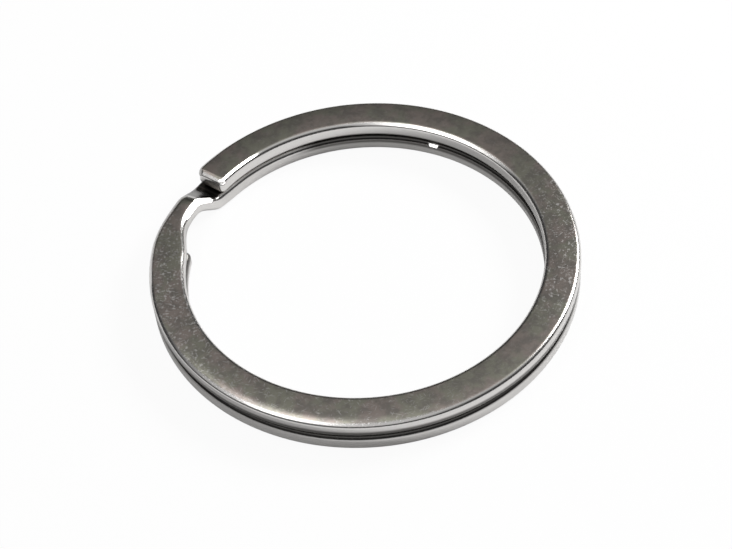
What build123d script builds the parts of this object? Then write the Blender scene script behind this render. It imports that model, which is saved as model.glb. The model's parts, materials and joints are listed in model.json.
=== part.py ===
from build123d import *

import os
from math import atan2, cos, degrees, hypot, radians, sin

# Split key ring: one length of flat spring-steel wire, wound into two flat turns that a crank joins.
# The ring lies flat with its axis on Z, and its lower turn rests on z = 0.
# Angles run anticlockwise round Z from +X, and the wire climbs that way: lower turn, crank, upper turn.

# Driving dimensions, in millimetres. Lengths along the wire are taken at mid width.
outer_diameter = 32.0
wire_width = 2.65  # across the flat of the wire, in towards the axis
wire_thickness = 1.34
edge_radius = 0.40  # the wire's four long edges
turn_gap = 0.10  # free space between the two turns

crank_run = 2.8  # length of wire over which it climbs from one turn to the other
crank_foot = 141.5  # where the climb starts, in degrees
upper_end_clearance = 0.1  # from the upper turn's end to the crank's foot
lower_end_clearance = 3.7  # from the crank's head to the lower turn's end

# The press that cranks the wire also squeezes it narrower, from before the foot to past the head.
inside_squeeze = 0.70
inside_squeeze_lead = 1.6  # from where it starts to the foot
inside_squeeze_peak = 4.2  # from the foot to where it is deepest
inside_squeeze_reach = 8.3  # from the foot to where it ends
inside_edge_radius = 0.55  # upper inner edge at the deepest place
outside_squeeze = 0.25
outside_squeeze_peak = 2.2
outside_squeeze_reach = 7.4
outside_edge_radius = 0.70  # upper outer edge at the deepest place

tip_outer_radius = 0.70  # corners of the cut ends, seen from above
tip_inner_radius = 0.45

# Worked out from them.
outer_radius = outer_diameter / 2
inner_radius = outer_radius - wire_width
middle_radius = outer_radius - wire_width / 2
rise = wire_thickness + turn_gap
station_spacing = 0.5  # length of wire between two neighbouring sections of the crank


def swing(length):
    """The angle that a length of wire takes up, in degrees."""
    return degrees(length / middle_radius)


def polar(radius, angle):
    return Vector(radius * cos(radians(angle)), radius * sin(radians(angle)), 0)


def sector(start, stop):
    """The flat outline of a turn that runs anticlockwise from one angle to another."""
    middle = (start + stop) / 2
    outer = ThreePointArc(polar(outer_radius, start), polar(outer_radius, middle), polar(outer_radius, stop))
    inner = ThreePointArc(polar(inner_radius, stop), polar(inner_radius, middle), polar(inner_radius, start))
    return make_face(Curve() + [outer, Line(outer @ 1, inner @ 0), inner, Line(inner @ 1, outer @ 0)])


def lies_at(shape, angle):
    """Whether a shape's centre lies on the upright plane through the axis at an angle."""
    centre = shape.center()
    apart = (degrees(atan2(centre.Y, centre.X)) - angle + 180) % 360 - 180
    return abs(apart) < 1e-3


def turn(joint, tip, floor):
    """One flat turn, left square at the angle where the crank takes over and rounded at its tip."""
    face = sector(min(joint, tip), max(joint, tip))
    for place, radius in ((0, tip_inner_radius), (-1, tip_outer_radius)):
        corners = sorted((v for v in face.vertices() if lies_at(v, tip)), key=lambda v: hypot(v.X, v.Y))
        face = fillet(corners[place], radius)
    body = extrude(face, wire_thickness)
    levels = body.faces().filter_by(Axis.Z)
    body = fillet([e for e in levels.edges() if not lies_at(e, joint)], edge_radius)
    return Pos(0, 0, floor) * body


def ease(share):
    """Goes smoothly from 0 to 1 as the share does, and stays there on either side."""
    share = min(max(share, 0), 1)
    return share * share * (3 - 2 * share)


def swell(along, start, peak, stop):
    """Grows smoothly from 0 at the start to 1 at the peak, and back to 0 at the stop."""
    if along < peak:
        return ease((along - start) / (peak - start))
    return ease((stop - along) / (stop - peak))


def crank_section(along):
    """The wire's upright section at a distance along the wire from the crank's foot."""
    inside = swell(along, -inside_squeeze_lead, inside_squeeze_peak, inside_squeeze_reach)
    outside = swell(along, 0, outside_squeeze_peak, outside_squeeze_reach)
    near = inner_radius + inside_squeeze * inside
    far = outer_radius - outside_squeeze * outside
    low = rise * ease(along / crank_run)
    high = low + wire_thickness
    near_edge = edge_radius + (inside_edge_radius - edge_radius) * inside
    far_edge = edge_radius + (outside_edge_radius - edge_radius) * outside
    outline = FilletPolyline(
        (near, low),
        (far, low),
        (far, high),
        (near, high),
        radius=[edge_radius, edge_radius, far_edge, near_edge],
        close=True,
    )
    angle = radians(crank_foot + swing(along))
    upright = Plane(origin=(0, 0, 0), x_dir=(cos(angle), sin(angle), 0), z_dir=(sin(angle), -cos(angle), 0))
    return upright * make_face(outline)


def crank():
    start = -inside_squeeze_lead
    stop = max(inside_squeeze_reach, outside_squeeze_reach, crank_run)
    count = round((stop - start) / station_spacing)
    return loft([crank_section(start + (stop - start) * i / count) for i in range(count + 1)])


def split_ring():
    crank_start = crank_foot - swing(inside_squeeze_lead)
    crank_stop = crank_foot + swing(max(inside_squeeze_reach, outside_squeeze_reach, crank_run))
    lower_tip = crank_foot + swing(crank_run + lower_end_clearance)
    upper_tip = crank_foot - swing(upper_end_clearance)
    lower_turn = turn(crank_start + 360, lower_tip, 0)
    upper_turn = turn(crank_stop, upper_tip + 360, rise)
    return lower_turn + crank() + upper_turn


os.makedirs("parts", exist_ok=True)
export_step(split_ring(), "parts/split_ring.step")
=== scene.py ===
import json
from math import cos, pi, radians, sin

import bmesh
import bpy
from bpy.props import FloatProperty, FloatVectorProperty, PointerProperty
from mathutils import Matrix, Vector


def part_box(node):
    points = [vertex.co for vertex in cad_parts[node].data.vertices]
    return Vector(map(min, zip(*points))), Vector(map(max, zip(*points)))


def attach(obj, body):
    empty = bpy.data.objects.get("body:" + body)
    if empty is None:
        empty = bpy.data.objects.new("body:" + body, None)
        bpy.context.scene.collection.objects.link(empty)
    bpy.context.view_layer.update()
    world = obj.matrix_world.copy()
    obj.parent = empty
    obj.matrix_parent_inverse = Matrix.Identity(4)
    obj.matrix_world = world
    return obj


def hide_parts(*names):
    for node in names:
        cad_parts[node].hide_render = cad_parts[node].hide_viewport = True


bl_info = {
    "name": "Split key ring",
    "version": (1, 0, 0),
    "blender": (4, 5, 0),
    "location": "3D View > Sidebar > Key ring",
    "description": "Finishes a wound steel key ring and sets its studio",
    "category": "Object",
}

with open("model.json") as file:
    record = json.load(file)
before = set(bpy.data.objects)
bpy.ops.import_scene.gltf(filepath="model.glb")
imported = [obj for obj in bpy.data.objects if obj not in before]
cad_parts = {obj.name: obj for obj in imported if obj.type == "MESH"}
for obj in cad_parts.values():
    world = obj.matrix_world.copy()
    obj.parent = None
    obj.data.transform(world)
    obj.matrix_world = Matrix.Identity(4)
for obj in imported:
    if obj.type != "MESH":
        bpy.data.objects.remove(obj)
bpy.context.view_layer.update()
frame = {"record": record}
LOW, HIGH = (Vector(corner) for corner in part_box("split_ring"))
OUTER_RADIUS = (HIGH.x - LOW.x) / 2
INNER_RADIUS = frame["record"]["mounts"][0]["dims"]["r_mm"] / 1000
HEIGHT = HIGH.z
WIRE_WIDTH = OUTER_RADIUS - INNER_RADIUS
MIDDLE_RADIUS = (OUTER_RADIUS + INNER_RADIUS) / 2

FULL_TURN = 2 * pi
QUARTER_BACK = 3 * pi / 2  # the wound wire's x = 0 lies this far round the ring
TOUCH = 1e-6
EDGE_SEGMENTS = 10
STEP_LENGTH = 0.00026
TIP_LENGTH = 0.001
SMOOTH_ANGLE = radians(40)


# ---------------------------------------------------------------- settings


class SteelSettings(bpy.types.PropertyGroup):
    """Colours, wear and painted shade of the tumbled steel wire."""

    # Part dulled steel and part painted shade: the flats are coloured much darker than the edges and walls,
    # standing in for the dark room they reflect.
    dulled_and_shaded_flat_colour: FloatVectorProperty(
        name="Flat colour",
        description="Steel on the flats of the wire, dulled by use",
        default=(0.335, 0.313, 0.287),
        size=3,
        subtype="COLOR",
    )
    edge_colour: FloatVectorProperty(
        name="Edge colour",
        description="Steel on the rounded edges, rubbed bright",
        default=(0.70, 0.685, 0.67),
        size=3,
        subtype="COLOR",
    )
    flat_roughness: FloatProperty(
        name="Flat roughness",
        description="How dull the flats are",
        default=0.31,
        min=0.0,
        max=1.0,
        subtype="FACTOR",
    )
    edge_roughness: FloatProperty(
        name="Edge roughness",
        description="How dull the rubbed edges are",
        default=0.20,
        min=0.0,
        max=1.0,
        subtype="FACTOR",
    )
    scratch_width: FloatProperty(
        name="Scratch width",
        description="Width of the fine scratches on the flats",
        default=0.00007,
        min=0.00001,
        unit="LENGTH",
    )
    scratch_length: FloatProperty(
        name="Scratch length",
        description="Length of the fine scratches on the flats",
        default=0.0005,
        min=0.00001,
        unit="LENGTH",
    )
    stain_size: FloatProperty(
        name="Stain size",
        description="Size of the soft stains in the finish",
        default=0.0022,
        min=0.0001,
        unit="LENGTH",
    )
    speck_size: FloatProperty(
        name="Speck size",
        description="Size of the bright specks where the ring is rubbed most",
        default=0.00022,
        min=0.00001,
        unit="LENGTH",
    )
    # Painted shade: the three groove settings below place and darken the painted shade between the two turns,
    # in the lower turn's notch and on the crank's ramp.
    groove_height: FloatProperty(
        name="Groove height",
        description="How high the middle of the groove's dirt lies",
        default=0.00128,
        unit="LENGTH",
    )
    groove_width: FloatProperty(
        name="Groove width",
        description="How far the dirt reaches above and below its middle",
        default=0.00062,
        min=0.00001,
        unit="LENGTH",
    )
    groove_shade_strength: FloatProperty(
        name="Groove dirt",
        description="How dark the groove between the two turns is",
        default=0.85,
        min=0.0,
        max=1.0,
        subtype="FACTOR",
    )
    wear_slope: FloatProperty(
        name="Wear slope",
        description="Slope of the worn bevels beside the flat, at the front and at the back",
        default=0.36,
        min=0.0,
        max=1.0,
    )


class WireSettings(bpy.types.PropertyGroup):
    """Section of the wire, and the crank between its turns. Lengths run along the wire at mid width."""

    thickness: FloatProperty(
        name="Thickness",
        description="Thickness of the wire",
        default=0.00134,
        unit="LENGTH",
    )
    edge_radius: FloatProperty(
        name="Edge radius",
        description="Rounding of the wire's four long edges",
        default=0.0004,
        unit="LENGTH",
    )
    crank_foot: FloatProperty(
        name="Crank foot",
        description="Where the wire starts to climb, anticlockwise from +X",
        default=radians(141.5),
        unit="ROTATION",
    )
    crank_run: FloatProperty(
        name="Crank run",
        description="Length of wire over which it climbs",
        default=0.0028,
        unit="LENGTH",
    )
    upper_end_clearance: FloatProperty(
        name="Upper end clearance",
        description="From the upper turn's end to the crank's foot",
        default=0.0001,
        unit="LENGTH",
    )
    lower_end_clearance: FloatProperty(
        name="Lower end clearance",
        description="From the crank's head to the lower turn's end",
        default=0.0037,
        unit="LENGTH",
    )
    squeeze_lead: FloatProperty(
        name="Squeeze lead",
        description="From where the squeeze of the inside edge starts to the crank's foot",
        default=0.0016,
        unit="LENGTH",
    )
    inside_squeeze: FloatProperty(
        name="Inside squeeze",
        description="How far the inside edge is pressed out, at most",
        default=0.0007,
        unit="LENGTH",
    )
    inside_squeeze_peak: FloatProperty(
        name="Inside squeeze peak",
        description="From the crank's foot to the deepest place",
        default=0.0042,
        unit="LENGTH",
    )
    inside_squeeze_reach: FloatProperty(
        name="Inside squeeze reach",
        description="From the crank's foot to where the squeeze ends",
        default=0.0083,
        unit="LENGTH",
    )
    inside_edge_radius: FloatProperty(
        name="Inside edge radius",
        description="Rounding of the upper inside edge at the deepest place",
        default=0.00055,
        unit="LENGTH",
    )
    outside_squeeze: FloatProperty(
        name="Outside squeeze",
        description="How far the outside edge is pressed in, at most",
        default=0.00025,
        unit="LENGTH",
    )
    outside_squeeze_peak: FloatProperty(
        name="Outside squeeze peak",
        description="From the crank's foot to the deepest place",
        default=0.0022,
        unit="LENGTH",
    )
    outside_squeeze_reach: FloatProperty(
        name="Outside squeeze reach",
        description="From the crank's foot to where the squeeze ends",
        default=0.0074,
        unit="LENGTH",
    )
    outside_edge_radius: FloatProperty(
        name="Outside edge radius",
        description="Rounding of the upper outside edge at the deepest place",
        default=0.0007,
        unit="LENGTH",
    )
    tip_outer_radius: FloatProperty(
        name="Tip outer radius",
        description="Corner of a cut end at the ring's outside, seen from above",
        default=0.0007,
        unit="LENGTH",
    )
    tip_inner_radius: FloatProperty(
        name="Tip inner radius",
        description="Corner of a cut end at the ring's inside, seen from above",
        default=0.00045,
        unit="LENGTH",
    )


class StudioSettings(bpy.types.PropertyGroup):
    """Camera, floor and light."""

    distance: FloatProperty(
        name="Camera distance",
        description="From the middle of the ring to the camera",
        default=0.13233,
        unit="LENGTH",
    )
    elevation: FloatProperty(
        name="Camera elevation",
        description="How far above the floor the camera looks from",
        default=radians(48.55),
        unit="ROTATION",
    )
    roll: FloatProperty(
        name="Camera roll",
        description="How far the camera leans to its right",
        default=radians(5.63),
        unit="ROTATION",
    )
    dip: FloatProperty(
        name="Camera dip",
        description="How far the camera points below the middle of the ring",
        default=radians(0.366),
        unit="ROTATION",
    )
    focal_length: FloatProperty(
        name="Focal length",
        description="Focal length in millimetres on a sensor 36 mm wide",
        default=87.3,
    )
    overhead_power: FloatProperty(
        name="Overhead light",
        description="Power of the soft light above the ring in watts",
        default=0.18,
    )
    side_power: FloatProperty(
        name="Side light",
        description="Power of the soft light on the right in watts",
        default=1.15,
    )


# ---------------------------------------------------------------- shader maths


class Value:
    """A socket that expressions can be written with."""

    def __init__(self, shader, socket):
        self.shader = shader
        self.socket = socket

    def math(self, operation, *values, clamp=False):
        inputs = dict(enumerate((self, *values)))
        return self.shader.node("ShaderNodeMath", {"operation": operation, "use_clamp": clamp}, inputs)

    def __add__(self, other):
        return self.math("ADD", other)

    def __sub__(self, other):
        return self.math("SUBTRACT", other)

    def __rsub__(self, other):
        return self.shader.node("ShaderNodeMath", {"operation": "SUBTRACT"}, {0: other, 1: self})

    def __mul__(self, other):
        return self.math("MULTIPLY", other)

    def __truediv__(self, other):
        return self.math("DIVIDE", other)

    def __abs__(self):
        return self.math("ABSOLUTE")

    __radd__ = __add__
    __rmul__ = __mul__

    def most(self, other):
        return self.math("MAXIMUM", other)

    def step(self, low, high):
        """Goes smoothly from 0 at low to 1 at high."""
        settings = {"interpolation_type": "SMOOTHSTEP"}
        return self.shader.node("ShaderNodeMapRange", settings, {0: self, 1: low, 2: high, 3: 0.0, 4: 1.0})


class Shader:
    """Builds one material's or world's nodes."""

    def __init__(self, owner):
        owner.use_nodes = True
        self.tree = owner.node_tree
        self.tree.nodes.clear()

    def node(self, kind, settings=None, inputs=None, output=0):
        """Adds a node: its settings first, then its sockets' values or links. Returns one of its outputs."""
        made = self.tree.nodes.new(kind)
        for name, value in (settings or {}).items():
            setattr(made, name, value)
        for name, value in (inputs or {}).items():
            self.put(made.inputs[name], value)
        return Value(self, made.outputs[output]) if made.outputs else None

    def put(self, socket, value):
        if isinstance(value, Value):
            self.tree.links.new(value.socket, socket)
        else:
            socket.default_value = value

    def vector(self, operation, first, second):
        return self.node("ShaderNodeVectorMath", {"operation": operation}, {0: first, 1: second})

    def scaled(self, vector, factor):
        return self.node("ShaderNodeVectorMath", {"operation": "SCALE"}, {0: vector, "Scale": factor})

    def unit(self, vector):
        return self.node("ShaderNodeVectorMath", {"operation": "NORMALIZE"}, {0: vector})

    def length(self, vector):
        return self.node("ShaderNodeVectorMath", {"operation": "LENGTH"}, {0: vector}, output="Value")

    def dot(self, first, second):
        settings = {"operation": "DOT_PRODUCT"}
        return self.node("ShaderNodeVectorMath", settings, {0: first, 1: second}, output="Value")

    def height_of(self, vector):
        return self.node("ShaderNodeSeparateXYZ", {}, {0: vector}, output=2)

    def blend(self, factor, first, second):
        """Mixes two colours."""
        first, second = ((*part, 1.0) if isinstance(part, tuple) else part for part in (first, second))
        return self.node("ShaderNodeMix", {"data_type": "RGBA"}, {0: factor, 6: first, 7: second}, output=2)

    def noise(self, vector, scale, detail=2.0, roughness=0.5):
        inputs = {"Vector": vector, "Scale": scale, "Detail": detail, "Roughness": roughness}
        return self.node("ShaderNodeTexNoise", {}, inputs)


def between(value, start, stop):
    """Fades in over one range of a value and out over a later one."""
    return value.step(*start) * (1 - value.step(*stop))


def scratches(shader, place, turned, length, width, share):
    """Short straight scratches that lie at one angle: 1 on a scratch and 0 elsewhere."""
    turn = {"Vector": place, "Rotation": (0, 0, turned)}
    lie = shader.node("ShaderNodeMapping", {"vector_type": "POINT"}, turn)
    stretched = shader.vector("MULTIPLY", lie, (1 / length, 1 / width, 1 / width))
    return shader.noise(stretched, 1.0, detail=0.0).step(1 - share, 1 - share + SCRATCH_SOFTNESS)


# ---------------------------------------------------------------- wear and studio numbers


# Zones of the ring: the angle each is centred on, in degrees anticlockwise from +X, then the cosine of how
# far from there it is full and the cosine of how far from there it is gone.
CRANK_ZONE = (141.5, 0.98, 0.90)
DENT_ZONE = (62, 0.99985, 0.9992)
UNSHADED_INSIDE_ZONE = (132, 0.95, 0.86)
NOTCH_ZONE = (175, 0.9925, 0.980)
LEFT_RUB_ZONE = (190, 0.97, 0.70)
RIGHT_RUB_ZONE = (355, 0.98, 0.80)
SCRATCHED_ZONE = (235, 0.95, 0.30)
OUTER_WEAR_ZONE = (245, 0.97, 0.60)
INNER_WEAR_ZONE = (58, 0.97, 0.80)
OUTER_RIM_ZONE = (160, 0.97, 0.85)
INNER_RIM_ZONE = (141, 0.975, 0.935)

# Fades over the normal's z, which is 1 on the flats and 0 on the walls.
FLAT_FADE = (0.86, 0.995)
RAMP_FLAT_FADE = (0.55, 0.80)
ROUNDING_TOP_FADE = (0.93, 0.985)
OUTER_RIM_FADE = (0.10, 0.25)
INNER_RIM_FADE = (0.66, 0.76)
FACING_FADE = (0.05, 0.15)  # over the normal's part that points out from the axis, or in towards it

# Fades across the wire, which go from 0 at mid width to 1 at an edge.
INSIDE_FADE = (0.5, 0.7)
DENT_FADE = (0.7, 0.8)
OUTER_WEAR_START = (0.25, 1.05)
OUTER_WEAR_STOP = (0.90, 0.99)
INNER_WEAR_START = (0.66, 0.86)
INNER_WEAR_STOP = (0.93, 0.99)

# Fades in metres: heights above the rest face, and lengths past the crank's foot.
DENT_FOOT = (0.00092, 0.00104)
DENT_HEAD = (0.00126, 0.00136)
NOTCH_FOOT = (0.0008, 0.00095)
NOTCH_HEAD = (0.0019, 0.0021)
RAMP_HEAD = (0.0023, 0.0026)
TOP_FADE = (HEIGHT - 0.0005, HEIGHT - 0.0003)
UPPER_HALF_FADE = (HEIGHT / 2, HEIGHT * 0.6)
CRANK_START = (-0.0001, 0.0002)
CRANK_STOP = (0.0026, 0.0034)
END_WEAR_START = (-0.00065, -0.0005)
END_WEAR_STOP = (-0.0002, -0.00012)
BEYOND_FOOT = (0.0, 0.0006)

GROOVE_LEAN = 0.0003  # how much higher the painted shade lies on the outside than on the inside
GROOVE_CORE = 0.55  # share of the painted shade's width that is full
UNSHADED_INSIDE = 0.9  # share of the painted shade that is missing inside the ring in its unshaded zone
BEYOND_FOOT_SHARE = 0.4  # lets the worn inner rim follow the wire up the crank
ACROSS_MIDDLE = (-0.5, 0.5)

STAIN_FINENESS = 2.3
GRAIN_FINENESS = 22
TINT_FADE = (0.42, 0.58)
STAIN_FADE = (0.36, 0.60)
SPECK_FADE = (0.60, 0.70)
STAIN_STRENGTH = 0.75
LEAST_SPECKS = 0.12
LEAST_SCRATCHES = 0.25
SPECK_BRIGHTNESS = 0.6
SCRATCH_BRIGHTNESS = 0.55
SCRATCH_SOFTNESS = 0.06
SCRATCH_SETS = ((0.3, 0.26), (1.1, 0.24), (2.0, 0.25), (2.7, 0.26))  # angle in radians, share of the steel
WARM = (1.06, 0.98, 0.97)
GREEN = (0.95, 1.00, 0.90)
STAINED = (0.70, 0.70, 0.70)
# Colour of the painted shade between the turns, in the notch and on the crank's ramp.
PAINTED_SHADE_COLOUR = (0.06, 0.055, 0.05)
GRAIN_ROUGHNESS = 0.10
WORN_ROUGHNESS = 0.15
RELIEF_DEPTH = 0.00001
RELIEF_STRENGTH = 0.35
GRAIN_RELIEF = 0.3
STAIN_RELIEF = 0.9
WORN_RELIEF = 0.6

DENT_SLOPE = -0.5
OUTER_RIM_SLOPE = 1.4
INNER_RIM_SLOPE = 0.594
INNER_RIM_WAY = radians(-21.8)  # the way the worn inner rim leans, anticlockwise from +X

FLOOR_SIZE = 4.0
PAPER_COLOUR = (0.9, 0.9, 0.9, 1.0)
FLOOR_GLOW = 0.94  # how much of the floor that the camera sees is plain white
SKY_LOW = 0.05
SKY_RISE = 0.6
SKY_FADE = (0.5, 1.0)
OVERHEAD_PLACE = (-0.10, 0.03, 0.33)
OVERHEAD_SIZE = (0.14, 0.10)
SIDE_PLACE = (0.25, 0.13, 0.20)
SIDE_SIZE = (0.15, 0.12)
SENSOR_WIDTH_MM = 36.0
NEAREST_SEEN = 0.005


# ---------------------------------------------------------------- the wire


def ease(share):
    """Goes smoothly from 0 to 1 as the share does, and stays there on either side."""
    share = min(max(share, 0.0), 1.0)
    return share * share * (3 - 2 * share)


def swell(along, start, peak, stop):
    """Grows smoothly from 0 at the start to 1 at the peak, and back to 0 at the stop."""
    if along < peak:
        return ease((along - start) / (peak - start))
    return ease((stop - along) / (stop - peak))


class Bar:
    """A stretch of straight wire along X, +Y its inside edge, that is shaped before the wire is wound."""

    def __init__(self, piece, wire):
        self.piece = piece
        self.wire = wire
        bpy.ops.object.mode_set(mode="EDIT")

    @classmethod
    def plain(cls, name, start, stop, height, wire):
        middle = ((start + stop) / 2, 0.0, height + wire.thickness / 2)
        size = (stop - start, WIRE_WIDTH, wire.thickness)
        bpy.ops.mesh.primitive_cube_add(size=1.0, location=middle, scale=size)
        bpy.ops.object.transform_apply(location=True, rotation=True, scale=True)
        bpy.context.object.name = name
        return cls(bpy.context.object, wire)

    def select(self, kind, wanted):
        """Selects the vertices, edges or faces that a test passes, and nothing else."""
        bpy.ops.mesh.select_mode(type={"verts": "VERT", "edges": "EDGE", "faces": "FACE"}[kind])
        bpy.ops.mesh.select_all(action="DESELECT")
        shape = bmesh.from_edit_mesh(self.piece.data)
        for part in getattr(shape, kind):
            if wanted(part):
                part.select_set(True)
        bmesh.update_edit_mesh(self.piece.data)

    def round_long_edges(self):
        def long(edge):
            one, other = (v.co for v in edge.verts)
            return abs(one.y - other.y) < TOUCH and abs(one.z - other.z) < TOUCH

        self.select("edges", long)
        bpy.ops.mesh.bevel(offset=self.wire.edge_radius, segments=EDGE_SEGMENTS, affect="EDGES")

    def open_ends(self, *places):
        """Takes away the faces that stand across the wire at some places along it."""

        def across(face):
            return any(all(abs(v.co.x - x) < TOUCH for v in face.verts) for x in places)

        self.select("faces", across)
        bpy.ops.mesh.delete(type="ONLY_FACE")

    def done(self):
        bpy.ops.object.mode_set(mode="OBJECT")
        return self.piece


class KEYRING_OT_wind_wire(bpy.types.Operator):
    """Shape the wire straight, with its crank and rounded tips, and wind it into the ring"""

    bl_idname = "keyring.wind_wire"
    bl_label = "Wind the wire"

    def execute(self, context):
        wire = context.scene.keyring_wire
        foot = wire.crank_foot - QUARTER_BACK
        crank_start = MIDDLE_RADIUS * (foot + FULL_TURN) - wire.squeeze_lead
        crank_stop = crank_start + wire.squeeze_lead + wire.inside_squeeze_reach
        lower_tip = MIDDLE_RADIUS * foot + wire.crank_run + wire.lower_end_clearance
        upper_tip = MIDDLE_RADIUS * (foot + 2 * FULL_TURN) - wire.upper_end_clearance
        rise = HEIGHT - wire.thickness
        pieces = [
            self.tip(wire, "lower_tip", lower_tip, lower_tip + TIP_LENGTH, 0.0),
            self.straight(wire, "lower_turn", lower_tip + TIP_LENGTH, crank_start, 0.0),
            self.crank(wire, crank_start, crank_stop, rise),
            self.straight(wire, "upper_turn", crank_stop, upper_tip - TIP_LENGTH, rise),
            self.tip(wire, "upper_tip", upper_tip, upper_tip - TIP_LENGTH, rise),
        ]
        bpy.ops.object.select_all(action="DESELECT")
        for piece in pieces:
            piece.select_set(True)
        context.view_layer.objects.active = pieces[0]
        bpy.ops.object.join()
        ring = context.object
        ring.name = "wound_wire"
        bpy.ops.object.mode_set(mode="EDIT")
        bpy.ops.mesh.select_all(action="SELECT")
        bpy.ops.mesh.remove_doubles(threshold=TOUCH)
        bpy.ops.mesh.normals_make_consistent(inside=False)
        bpy.ops.object.mode_set(mode="OBJECT")
        bpy.ops.object.modifier_add(type="SIMPLE_DEFORM")
        bend = ring.modifiers[-1]
        bend.deform_method = "BEND"
        bend.deform_axis = "Z"
        bend.angle = (upper_tip - lower_tip) / MIDDLE_RADIUS
        bpy.ops.object.modifier_apply(modifier=bend.name)
        ring.location.y = -MIDDLE_RADIUS
        bpy.ops.object.transform_apply(location=True, rotation=True, scale=True)
        bpy.ops.object.shade_smooth_by_angle(angle=SMOOTH_ANGLE)
        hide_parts("split_ring")
        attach(ring, "root")
        return {"FINISHED"}

    def straight(self, wire, name, start, stop, height):
        """A plain stretch of wire, cut into short steps so that it can be wound."""
        steps = round((stop - start) / STEP_LENGTH)
        length = (stop - start) / steps
        bar = Bar.plain(name, start, start + length, height, wire)
        bar.round_long_edges()
        bar.open_ends(start, start + length)
        piece = bar.done()
        bpy.ops.object.modifier_add(type="ARRAY")
        copies = piece.modifiers[-1]
        copies.count = steps
        copies.use_relative_offset = False
        copies.use_constant_offset = True
        copies.constant_offset_displace = (length, 0.0, 0.0)
        copies.use_merge_vertices = True
        copies.merge_threshold = TOUCH
        bpy.ops.object.modifier_apply(modifier=copies.name)
        return piece

    def crank(self, wire, start, stop, rise):
        bar = Bar(self.straight(wire, "crank", start, stop, 0.0), wire)
        steps = round((stop - start) / STEP_LENGTH)
        near, far = WIRE_WIDTH / 2, -WIRE_WIDTH / 2
        here = STEP_LENGTH / 4
        half_way_up = wire.thickness / 2
        for step in range(steps + 1):
            place = start + (stop - start) * step / steps
            along = place - start - wire.squeeze_lead
            inside = swell(along, -wire.squeeze_lead, wire.inside_squeeze_peak, wire.inside_squeeze_reach)
            outside = swell(along, 0.0, wire.outside_squeeze_peak, wire.outside_squeeze_reach)
            for side, growth in (
                (near, 1 + (wire.inside_edge_radius / wire.edge_radius - 1) * inside),
                (far, 1 + (wire.outside_edge_radius / wire.edge_radius - 1) * outside),
            ):
                bar.select(
                    "verts",
                    lambda v: abs(v.co.x - place) < here and v.co.y * side > 0 and v.co.z > half_way_up,
                )
                corner = (place, side, wire.thickness)
                bpy.ops.transform.resize(value=(1.0, growth, growth), center_override=corner)
            for side, push in ((near, -wire.inside_squeeze * inside), (far, wire.outside_squeeze * outside)):
                bar.select("verts", lambda v: abs(v.co.x - place) < here and v.co.y * side > 0)
                bpy.ops.transform.translate(value=(0.0, push, 0.0))
            bar.select("verts", lambda v: abs(v.co.x - place) < here)
            bpy.ops.transform.translate(value=(0.0, 0.0, rise * ease(along / wire.crank_run)))
        return bar.done()

    def tip(self, wire, name, end, root, height):
        """The rounded end of the wire: its upright corners first, then the rims above and below them."""
        bar = Bar.plain(name, min(end, root), max(end, root), height, wire)
        for side, radius in ((1, wire.tip_inner_radius), (-1, wire.tip_outer_radius)):
            bar.select(
                "edges",
                lambda edge: all(abs(v.co.x - end) < TOUCH and v.co.y * side > 0 for v in edge.verts),
            )
            bpy.ops.mesh.bevel(offset=radius, segments=EDGE_SEGMENTS, affect="EDGES")

        def on_rim(edge):
            one, other = (v.co for v in edge.verts)
            across_root = abs(one.x - root) < TOUCH and abs(other.x - root) < TOUCH
            return abs(one.z - other.z) < TOUCH and not across_root

        bar.select("edges", on_rim)
        bpy.ops.mesh.bevel(offset=wire.edge_radius, segments=EDGE_SEGMENTS, affect="EDGES")
        bar.open_ends(root)
        return bar.done()


# ---------------------------------------------------------------- the steel


def tinted(colour, tint):
    return tuple(part * share for part, share in zip(colour, tint))


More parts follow.
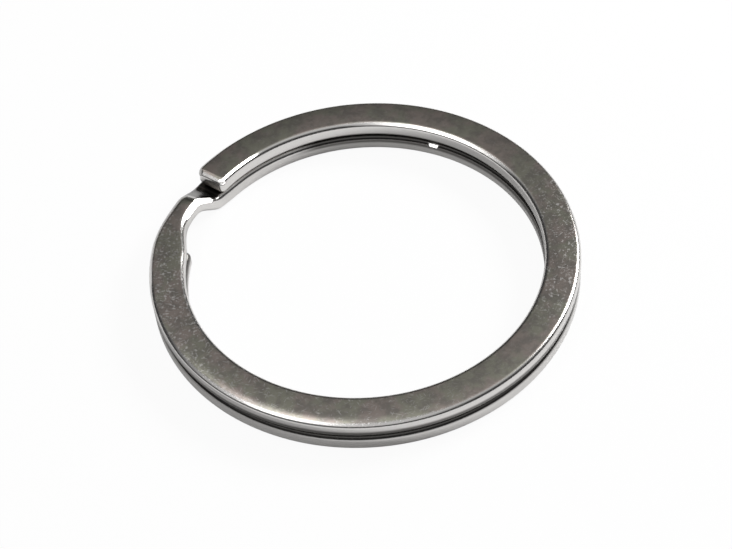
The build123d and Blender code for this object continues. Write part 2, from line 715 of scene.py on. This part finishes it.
class Finish:
    """Places on the wound wire, and the looks of the steel there."""

    def __init__(self, shader, steel, wire):
        self.shader = shader
        self.steel = steel
        self.place = shader.node("ShaderNodeTexCoord", output="Object")
        self.facing = shader.node("ShaderNodeTexCoord", output="Normal")
        self.height = shader.height_of(self.place)
        self.rising = shader.height_of(self.facing)
        level_place = shader.vector("MULTIPLY", self.place, (1, 1, 0))
        self.outward = shader.unit(level_place)
        self.across = (shader.length(level_place) - MIDDLE_RADIUS) / (WIRE_WIDTH / 2)
        self.inner = 0 - self.across
        self.ahead = (-sin(wire.crank_foot), cos(wire.crank_foot), 0)
        self.past_foot = shader.dot(self.place, self.ahead)
        self.crank_side = self.near(CRANK_ZONE)
        self.on_crank = between(self.past_foot, CRANK_START, CRANK_STOP) * self.crank_side
        self.dent = self.near(DENT_ZONE) * self.inner.step(*DENT_FADE)
        self.dent = self.dent * between(self.height, DENT_FOOT, DENT_HEAD)
        self.rubbed = self.near(LEFT_RUB_ZONE).most(self.near(RIGHT_RUB_ZONE))
        self.flat = abs(self.rising).step(*FLAT_FADE)

    def near(self, zone):
        """1 in a zone of the ring and 0 away from it."""
        angle, full, gone = zone
        side = (cos(radians(angle)), sin(radians(angle)), 0)
        return self.shader.dot(self.outward, side).step(gone, full)

    def fine_noise(self, size, fineness=1, detail=2.0, roughness=0.5):
        return self.shader.noise(self.place, fineness / size, detail=detail, roughness=roughness)

    def groove(self):
        """Painted shade between the two turns, in the notch at the lower turn's end and on the crank's ramp,
        where the wire shades itself.
        """
        inside = self.inner.step(*INSIDE_FADE)
        middle = self.steel.groove_height + self.across.step(*ACROSS_MIDDLE) * GROOVE_LEAN
        width = self.steel.groove_width
        # Painted shade in a band round the groove between the turns, where they shade each other.
        painted_shade = 1 - abs(self.height - middle).step(width * GROOVE_CORE, width)
        painted_shade = painted_shade * (1 - self.on_crank) * (1 - self.dent)
        # Less painted shade on the ring's inside near the crank.
        painted_shade = painted_shade * (1 - inside * self.near(UNSHADED_INSIDE_ZONE) * UNSHADED_INSIDE)
        notch = inside * self.near(NOTCH_ZONE) * between(self.height, NOTCH_FOOT, NOTCH_HEAD)
        ramp = self.on_crank * abs(self.rising).step(*RAMP_FLAT_FADE) * (1 - self.height.step(*RAMP_HEAD))
        return painted_shade.most(notch).most(ramp)

    def worn(self):
        """Bright scratches and specks."""
        specks = self.fine_noise(self.steel.speck_size, detail=1.0).step(*SPECK_FADE)
        specks = specks * (LEAST_SPECKS + (1 - LEAST_SPECKS) * self.rubbed)
        length, width = self.steel.scratch_length, self.steel.scratch_width
        marks, *more = (
            scratches(self.shader, self.place, turned, length, width, share) for turned, share in SCRATCH_SETS
        )
        for mark in more:
            marks = marks.most(mark)
        scratched = self.near(SCRATCHED_ZONE).most(self.rubbed)
        marks = marks * (LEAST_SCRATCHES + (1 - LEAST_SCRATCHES) * scratched)
        return (marks * SCRATCH_BRIGHTNESS).most(specks * SPECK_BRIGHTNESS)

    def colour(self, stains, worn):
        """Two tints under the stains on the flats, which are darker than the edges partly as painted shade,
        bright edges, and the groove's painted shade over both.
        """
        tint = self.fine_noise(self.steel.stain_size, detail=3.0, roughness=0.6)
        dulled_and_shaded_flat_colour, edge_colour = tuple(self.steel.dulled_and_shaded_flat_colour), tuple(self.steel.edge_colour)
        blend = self.shader.blend
        # The flats' colour: dulled steel, darkened further as painted shade.
        dulled = blend(tint.step(*TINT_FADE), tinted(dulled_and_shaded_flat_colour, GREEN), tinted(dulled_and_shaded_flat_colour, WARM))
        dulled = blend((1 - stains.step(*STAIN_FADE)) * STAIN_STRENGTH, dulled, tinted(dulled_and_shaded_flat_colour, STAINED))
        dulled = blend(worn, dulled, edge_colour)
        # Faces pointing up or down take the darker, partly painted-shade colour; edges and walls take the
        # brighter one.
        colour = blend(self.flat, edge_colour, dulled)
        # The groove's painted shade is laid over the steel's colour.
        return blend(self.groove() * self.steel.groove_shade_strength, colour, PAINTED_SHADE_COLOUR)

    def roughness(self, grain, worn):
        edge = self.steel.edge_roughness
        level = edge + self.flat * (self.steel.flat_roughness - edge)
        return level + (grain - 0.5) * GRAIN_ROUGHNESS + worn * WORN_ROUGHNESS

    def facets(self):
        """The normal, tilted where the wire is worn to a slope. The shape itself stays round."""
        top = self.height.step(*TOP_FADE)
        outer_wear = top * between(self.across, OUTER_WEAR_START, OUTER_WEAR_STOP)
        inner_wear = top * between(self.inner, INNER_WEAR_START, INNER_WEAR_STOP)
        end_wear = top * between(self.past_foot, END_WEAR_START, END_WEAR_STOP) * self.crank_side
        facing_out = self.shader.dot(self.facing, self.outward)
        rounding = (1 - self.rising.step(*ROUNDING_TOP_FADE)) * self.height.step(*UPPER_HALF_FADE)
        outer_rim = rounding * self.rising.step(*OUTER_RIM_FADE) * facing_out.step(*FACING_FADE)
        beyond = self.past_foot.step(*BEYOND_FOOT) * BEYOND_FOOT_SHARE
        inner_rim = rounding * (self.rising + beyond).step(*INNER_RIM_FADE)
        inner_rim = inner_rim * (0 - facing_out).step(*FACING_FADE)
        rim_way = (cos(INNER_RIM_WAY), sin(INNER_RIM_WAY), 0)
        tilted = self.facing
        for wear, way, slope in (
            (outer_wear * self.near(OUTER_WEAR_ZONE), self.outward, self.steel.wear_slope),
            (inner_wear * self.near(INNER_WEAR_ZONE), self.outward, -self.steel.wear_slope),
            (end_wear, self.ahead, self.steel.wear_slope),
            (self.dent, self.outward, DENT_SLOPE),
            (outer_rim * self.near(OUTER_RIM_ZONE), self.outward, OUTER_RIM_SLOPE),
            (inner_rim * self.near(INNER_RIM_ZONE), rim_way, INNER_RIM_SLOPE),
        ):
            facet = self.shader.unit(self.shader.vector("ADD", self.shader.scaled(way, slope), (0, 0, 1)))
            kept = self.shader.scaled(tilted, 1 - wear)
            tilted = self.shader.unit(self.shader.vector("ADD", kept, self.shader.scaled(facet, wear)))
        return tilted

    def surface(self):
        stains = self.fine_noise(self.steel.stain_size, STAIN_FINENESS, detail=4.0, roughness=0.65)
        grain = self.fine_noise(self.steel.stain_size, GRAIN_FINENESS, detail=2.0, roughness=0.6)
        worn = self.worn()
        bump = {
            "Strength": RELIEF_STRENGTH,
            "Distance": RELIEF_DEPTH,
            "Height": grain * GRAIN_RELIEF + stains * STAIN_RELIEF - worn * WORN_RELIEF,
            "Normal": self.facets(),
        }
        principled = {
            "Base Color": self.colour(stains, worn),
            "Metallic": 1.0,
            "Roughness": self.roughness(grain, worn),
            "Normal": self.shader.node("ShaderNodeBump", {}, bump),
        }
        return self.shader.node("ShaderNodeBsdfPrincipled", {}, principled)


class KEYRING_OT_finish_steel(bpy.types.Operator):
    """Give the wire its tumbled and worn steel finish, with painted shade in the groove and on the flats"""

    bl_idname = "keyring.finish_steel"
    bl_label = "Finish the steel"

    def execute(self, context):
        material = bpy.data.materials.new("tumbled_steel")
        shader = Shader(material)
        finish = Finish(shader, context.scene.keyring_steel, context.scene.keyring_wire)
        shader.node("ShaderNodeOutputMaterial", {}, {"Surface": finish.surface()}, output=None)
        ring = bpy.data.objects["wound_wire"]
        ring.data.materials.clear()
        ring.data.materials.append(material)
        return {"FINISHED"}


# ---------------------------------------------------------------- the studio


def aimed(location, target):
    """The turn that points a light or a camera from one place to another."""
    return (Vector(target) - Vector(location)).to_track_quat("-Z", "Y")


class KEYRING_OT_set_studio(bpy.types.Operator):
    """Add the floor, the soft light and the camera"""

    bl_idname = "keyring.set_studio"
    bl_label = "Set the studio"

    def execute(self, context):
        studio = context.scene.keyring_studio
        self.add_floor(context)
        self.add_world(context)
        self.add_light(context, "overhead", OVERHEAD_PLACE, OVERHEAD_SIZE, studio.overhead_power)
        self.add_light(context, "side", SIDE_PLACE, SIDE_SIZE, studio.side_power)
        self.add_camera(context, studio)
        context.scene.view_settings.view_transform = "Standard"
        return {"FINISHED"}

    def add_floor(self, context):
        bpy.ops.mesh.primitive_plane_add(size=FLOOR_SIZE)
        floor = context.object
        floor.name = "floor"
        material = bpy.data.materials.new("white_paper")
        shader = Shader(material)
        seen = shader.node("ShaderNodeLightPath", output="Is Camera Ray")
        paper = shader.node("ShaderNodeBsdfDiffuse", {}, {"Color": PAPER_COLOUR})
        glow = shader.node("ShaderNodeEmission", {}, {"Color": (1.0, 1.0, 1.0, 1.0), "Strength": 1.0})
        mixed = shader.node("ShaderNodeMixShader", {}, {0: seen * FLOOR_GLOW, 1: paper, 2: glow})
        shader.node("ShaderNodeOutputMaterial", {}, {"Surface": mixed}, output=None)
        floor.data.materials.append(material)

    def add_world(self, context):
        world = bpy.data.worlds.new("studio")
        context.scene.world = world
        shader = Shader(world)
        way = shader.node("ShaderNodeTexCoord", output="Generated")
        level = SKY_LOW + SKY_RISE * shader.height_of(shader.unit(way)).step(*SKY_FADE)
        seen = shader.node("ShaderNodeLightPath", output="Is Camera Ray")
        level = seen + (1 - seen) * level
        light = shader.node("ShaderNodeBackground", {}, {"Color": (1.0, 1.0, 1.0, 1.0), "Strength": level})
        shader.node("ShaderNodeOutputWorld", {}, {"Surface": light}, output=None)

    def add_light(self, context, name, location, size, power):
        bpy.ops.object.light_add(type="AREA", location=location)
        light = context.object
        light.name = name
        light.rotation_mode = "QUATERNION"
        light.rotation_quaternion = aimed(location, (0, 0, 0))
        light.data.shape = "RECTANGLE"
        light.data.size, light.data.size_y = size
        light.data.energy = power

    def add_camera(self, context, studio):
        middle = Vector((0, 0, HEIGHT / 2))
        back = Vector((0, -cos(studio.elevation), sin(studio.elevation)))
        turned = (
            Matrix.Rotation(pi / 2 - studio.elevation, 4, "X")
            @ Matrix.Rotation(-studio.dip, 4, "X")
            @ Matrix.Rotation(-studio.roll, 4, "Z")
        )
        bpy.ops.object.camera_add()
        camera = context.object
        camera.matrix_world = Matrix.Translation(middle + back * studio.distance) @ turned
        camera.data.lens = studio.focal_length
        camera.data.sensor_width = SENSOR_WIDTH_MM
        camera.data.clip_start = NEAREST_SEEN
        context.scene.camera = camera


class KEYRING_PT_sidebar(bpy.types.Panel):
    """Lists the ring's settings and steps"""

    bl_label = "Key ring"
    bl_idname = "KEYRING_PT_sidebar"
    bl_space_type = "VIEW_3D"
    bl_region_type = "UI"
    bl_category = "Key ring"

    def draw(self, context):
        scene = context.scene
        for settings in (scene.keyring_wire, scene.keyring_steel, scene.keyring_studio):
            box = self.layout.box()
            for name in settings.__annotations__:
                box.prop(settings, name)
        for step in STEPS:
            self.layout.operator(step.bl_idname)


STEPS = (KEYRING_OT_wind_wire, KEYRING_OT_finish_steel, KEYRING_OT_set_studio)
CLASSES = (WireSettings, SteelSettings, StudioSettings, *STEPS, KEYRING_PT_sidebar)


def register():
    for kind in CLASSES:
        bpy.utils.register_class(kind)
    bpy.types.Scene.keyring_wire = PointerProperty(type=WireSettings)
    bpy.types.Scene.keyring_steel = PointerProperty(type=SteelSettings)
    bpy.types.Scene.keyring_studio = PointerProperty(type=StudioSettings)


def unregister():
    del bpy.types.Scene.keyring_studio
    del bpy.types.Scene.keyring_steel
    del bpy.types.Scene.keyring_wire
    for kind in reversed(CLASSES):
        bpy.utils.unregister_class(kind)


def main():
    register()
    bpy.ops.object.select_all(action="DESELECT")
    bpy.ops.keyring.wind_wire()
    bpy.ops.keyring.finish_steel()
    bpy.ops.keyring.set_studio()


if __name__ == "__main__":
    main()
